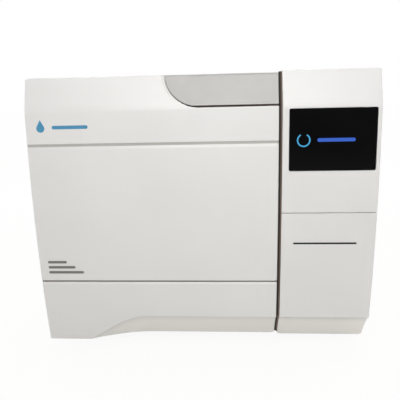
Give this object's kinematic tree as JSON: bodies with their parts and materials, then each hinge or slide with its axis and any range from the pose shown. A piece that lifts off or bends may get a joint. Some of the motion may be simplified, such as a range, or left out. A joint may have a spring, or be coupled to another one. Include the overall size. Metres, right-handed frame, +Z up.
{
  "type": "benchtop autoclave",
  "caption": "Bench steam steriliser: white cover, left-hinged door with tipping handle and motor lock, round chamber with trays, control column with screen, flap and printer.",
  "frame": {"origin": "on the bench plane, at the middle of the footprint", "axes": "+X to the right seen from the front, +Y from the front to the rear, +Z up"},
  "size_m": [0.48, 0.6, 0.4125],
  "materials": {
    "white_plastic": "satin moulded white",
    "silver_trim": "satin silver lacquer",
    "black_glass": "gloss black",
    "painted_steel": "fine powder coat",
    "stainless": "brushed",
    "zinc_steel": "zinc plated",
    "aluminium": "cast or extruded",
    "brass": "machined",
    "silicone": "moulded silicone",
    "rubber": "matt",
    "dark_plastic": "fine texture",
    "tank_plastic": "translucent natural",
    "insulation": "woven glass fibre",
    "circuit_board": "solder mask",
    "paper": "thermal paper",
    "red_plastic": "moulded"
  },
  "bodies": {
    "chassis": {"base_pan": "zinc_steel", "casing_cover": "painted_steel", "chamber_cradle": "zinc_steel", "chamber_flange": "stainless", "chamber_vessel": "stainless", "clean_water_tank": "tank_plastic", "column_cover": "white_plastic", "condenser": "aluminium", "display_board": "circuit_board", "display_lens": "black_glass", "drain_outlet": "brass", "drain_valve_clean": "brass", "drain_valve_used": "brass", "fan_frame": "dark_plastic", "fan_guard": "zinc_steel", "foot_front_left": "rubber", "foot_front_right": "rubber", "foot_rear_left": "rubber", "foot_rear_right": "rubber", "front_frame": "zinc_steel", "hinge_bracket_lower": "zinc_steel", "hinge_bracket_upper": "zinc_steel", "hinge_pin": "stainless", "insulation_jacket": "insulation", "latch_striker": "stainless", "lock_motor": "zinc_steel", "main_board": "circuit_board", "power_inlet": "dark_plastic", "power_supply": "aluminium", "printer_body": "dark_plastic", "rear_panel": "painted_steel", "safety_valve": "brass", "steam_generator": "stainless", "tray_lower": "stainless", "tray_middle": "stainless", "tray_rack": "stainless", "tray_upper": "stainless", "used_water_tank": "tank_plastic", "vacuum_pump": "aluminium", "valve_block": "brass"},
    "door": {"door_cover": "white_plastic", "door_liner": "stainless", "door_yoke": "zinc_steel", "pressure_plate": "stainless", "door_gasket": "silicone", "door_hinge_plate": "zinc_steel", "handle_pin": "stainless"},
    "handle": {"door_handle": "silver_trim"},
    "hook": {"latch_hook": "stainless"},
    "lock_slider": {"lock_bar": "stainless"},
    "lead_screw": {"lock_screw": "stainless"},
    "flap": {"service_flap": "white_plastic"},
    "roll": {"paper_roll": "paper"},
    "platen": {"platen_roller": "rubber"},
    "lid": {"fill_lid": "white_plastic"},
    "rotor": {"fan_rotor": "dark_plastic"},
    "rocker": {"power_rocker": "red_plastic"},
    "clean_tap": {"drain_knob_clean": "dark_plastic"},
    "used_tap": {"drain_knob_used": "dark_plastic"},
    "reset": {"reset_button": "red_plastic"}
  },
  "joints": [
    {"name": "door_hinge", "type": "hinge", "parent": "chassis", "child": "door", "pos_m": [-0.233, -0.25, 0.215], "axis": [0, 0, -1], "range_deg": [0, 110]},
    {"name": "handle_tilt", "type": "hinge", "parent": "door", "child": "handle", "pos_m": [0.027, -0.28876, 0.372], "axis": [1, 0, 0], "range_deg": [0, 25]},
    {"name": "hook_tilt", "type": "hinge", "parent": "door", "child": "hook", "pos_m": [0.09, -0.258, 0.33], "axis": [1, 0, 0], "range_deg": [0, 15]},
    {"name": "lock_slide", "type": "slide", "parent": "chassis", "child": "lock_slider", "axis": [-1, 0, 0], "range_m": [0, 0.018]},
    {"name": "lead_screw_turn", "type": "hinge", "parent": "chassis", "child": "lead_screw", "pos_m": [0.132, -0.262, 0.25], "axis": [1, 0, 0], "range_deg": [0, 1620]},
    {"name": "flap_fold", "type": "hinge", "parent": "chassis", "child": "flap", "pos_m": [0.175, -0.29, 0.06], "axis": [1, 0, 0], "range_deg": [0, 90]},
    {"name": "roll_turn", "type": "hinge", "parent": "chassis", "child": "roll", "pos_m": [0.1706, -0.259, 0.158], "axis": [1, 0, 0], "continuous": true},
    {"name": "platen_turn", "type": "hinge", "parent": "chassis", "child": "platen", "pos_m": [0.1706, -0.276, 0.185], "axis": [1, 0, 0], "continuous": true},
    {"name": "lid_lift", "type": "hinge", "parent": "chassis", "child": "lid", "pos_m": [0.17, 0.05, 0.4054], "axis": [-1, 0, 0], "range_deg": [0, 90]},
    {"name": "fan_turn", "type": "hinge", "parent": "chassis", "child": "rotor", "pos_m": [0.158, 0.27015, 0.3], "axis": [0, 1, 0], "continuous": true},
    {"name": "rocker_tilt", "type": "hinge", "parent": "chassis", "child": "rocker", "pos_m": [0.163, 0.282, 0.073], "axis": [-1, 0, 0], "range_deg": [0, 16]},
    {"name": "clean_tap_turn", "type": "hinge", "parent": "chassis", "child": "clean_tap", "pos_m": [0.165, -0.265, 0.098], "axis": [0, -1, 0], "range_deg": [0, 90]},
    {"name": "used_tap_turn", "type": "hinge", "parent": "chassis", "child": "used_tap", "pos_m": [0.208, -0.265, 0.098], "axis": [0, -1, 0], "range_deg": [0, 90]},
    {"name": "reset_press", "type": "slide", "parent": "chassis", "child": "reset", "axis": [0, -1, 0], "range_m": [0, 0.003]}
  ],
  "couplings": [
    {"joint": "hook_tilt", "follows": "handle_tilt", "ratio": 0.6},
    {"joint": "lead_screw_turn", "follows": "lock_slide", "rad_per_m": 1570.8},
    {"joint": "platen_turn", "follows": "roll_turn", "ratio": -4.2222}
  ]
}
